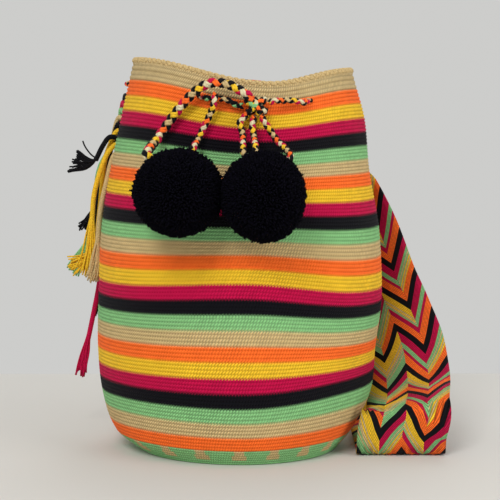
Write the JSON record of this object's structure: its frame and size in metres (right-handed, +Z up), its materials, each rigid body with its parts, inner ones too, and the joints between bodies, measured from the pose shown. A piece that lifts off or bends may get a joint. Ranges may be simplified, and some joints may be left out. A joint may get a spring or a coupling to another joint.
{
  "type": "crocheted mochila bag",
  "caption": "Round crocheted bucket bag with coloured stripes, a braided drawstring bow with two pompoms, a woven zigzag shoulder strap and side tassels.",
  "frame": {"origin": "middle of the flat base, on the surface that the bag stands on", "axes": "+Z up, -Y the front where the drawstring is tied, +X to the right seen from the front"},
  "size_m": [0.3243, 0.2871, 0.3205],
  "materials": {
    "crochet_body": "single crochet in stripes of dyed cotton yarn",
    "braided_string": "flat-plaited braid of many coloured yarns",
    "pompom_yarn": "dense cut navy yarn",
    "strap_weave": "hand-woven band of zigzags",
    "seam_yarn": "overcast stitches of navy yarn",
    "tassel_navy": "twisted navy yarn",
    "tassel_yellow": "twisted yellow yarn",
    "tassel_beige": "twisted beige yarn",
    "tassel_mint": "twisted mint yarn",
    "tassel_magenta": "twisted magenta yarn"
  },
  "bodies": {
    "root": {"bag_body": "crochet_body", "bow_knot": "braided_string", "bow_lead_left": "braided_string", "bow_lead_right": "braided_string", "bow_loop_left": "braided_string", "bow_strand_left": "braided_string", "bow_strand_right_inner": "braided_string", "bow_strand_right_middle": "braided_string", "bow_strand_right_outer": "braided_string", "drawstring": "braided_string", "pompom_left": "pompom_yarn", "pompom_right": "pompom_yarn", "strap": "strap_weave", "strap_seam_left": "seam_yarn", "strap_seam_right": "seam_yarn", "tassel_cord_beige_back": "tassel_beige", "tassel_cord_beige_front": "tassel_beige", "tassel_cord_magenta": "tassel_magenta", "tassel_cord_mint": "tassel_mint", "tassel_cord_navy_long": "tassel_navy", "tassel_cord_navy_lower": "tassel_navy", "tassel_cord_navy_short": "tassel_navy", "tassel_cord_yellow_back": "tassel_yellow", "tassel_cord_yellow_front": "tassel_yellow", "tassel_end_beige_back": "tassel_beige", "tassel_end_beige_front": "tassel_beige", "tassel_end_magenta": "tassel_magenta", "tassel_end_mint": "tassel_mint", "tassel_end_navy_long": "tassel_navy", "tassel_end_navy_lower": "tassel_navy", "tassel_end_navy_short": "tassel_navy", "tassel_end_yellow_back": "tassel_yellow", "tassel_end_yellow_front": "tassel_yellow"}
  },
  "joints": []
}
